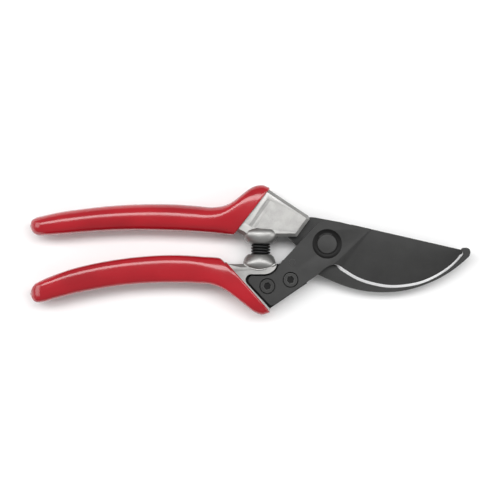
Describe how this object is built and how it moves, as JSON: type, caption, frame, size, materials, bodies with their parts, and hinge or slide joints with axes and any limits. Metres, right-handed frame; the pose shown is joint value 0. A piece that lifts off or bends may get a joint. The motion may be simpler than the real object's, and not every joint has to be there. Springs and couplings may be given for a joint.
{
  "type": "bypass pruner",
  "caption": "Hand pruner with a curved bypass blade and hook on a pivot bolt, cast handles with dipped grips, a return spring and a thumb catch.",
  "frame": {"origin": "on the pivot's axis, at the back of the pivot nut, which the tool lies on", "axes": "+X from the pivot to the blade's tip, +Y to the handle that carries the hook, +Z out of the blade's ground face"},
  "size_m": [0.209, 0.062, 0.015],
  "materials": {
    "red_grip": "glossy dipped PVC",
    "cast_aluminium": "satin cast",
    "coated_blade": "satin non-stick coating",
    "black_steel": "black oxide",
    "plain_steel": "satin",
    "spring_steel": "black oxide",
    "coated_catch": "satin black"
  },
  "bodies": {
    "hook_half": {"upper_handle": "cast_aluminium", "upper_grip": "red_grip", "hook_blade": "coated_blade", "hook_screws": "black_steel", "pivot_bolt": "black_steel", "pivot_washer": "plain_steel", "tension_washer": "plain_steel", "pivot_nut": "plain_steel", "catch_stud": "plain_steel", "main_spring": "spring_steel"},
    "blade_half": {"lower_handle": "cast_aluminium", "lower_grip": "red_grip", "cutting_blade": "coated_blade", "blade_screws": "black_steel", "catch_pin": "black_steel", "catch_spacer": "plain_steel"},
    "catch": {"catch_lever": "coated_catch"}
  },
  "joints": [
    {"name": "jaw_pivot", "type": "hinge", "parent": "hook_half", "child": "blade_half", "pos_m": [0, 0, 0.008], "axis": [0, 0, 1], "range_deg": [0, 30], "stiffness_Nm_per_rad": 0.63, "springref_deg": 45.84, "deforming": ["main_spring"]},
    {"name": "catch_pivot", "type": "hinge", "parent": "blade_half", "child": "catch", "pos_m": [-0.0165, -0.00865, 0.001], "axis": [0, 0, 1], "range_deg": [0, 15]}
  ]
}
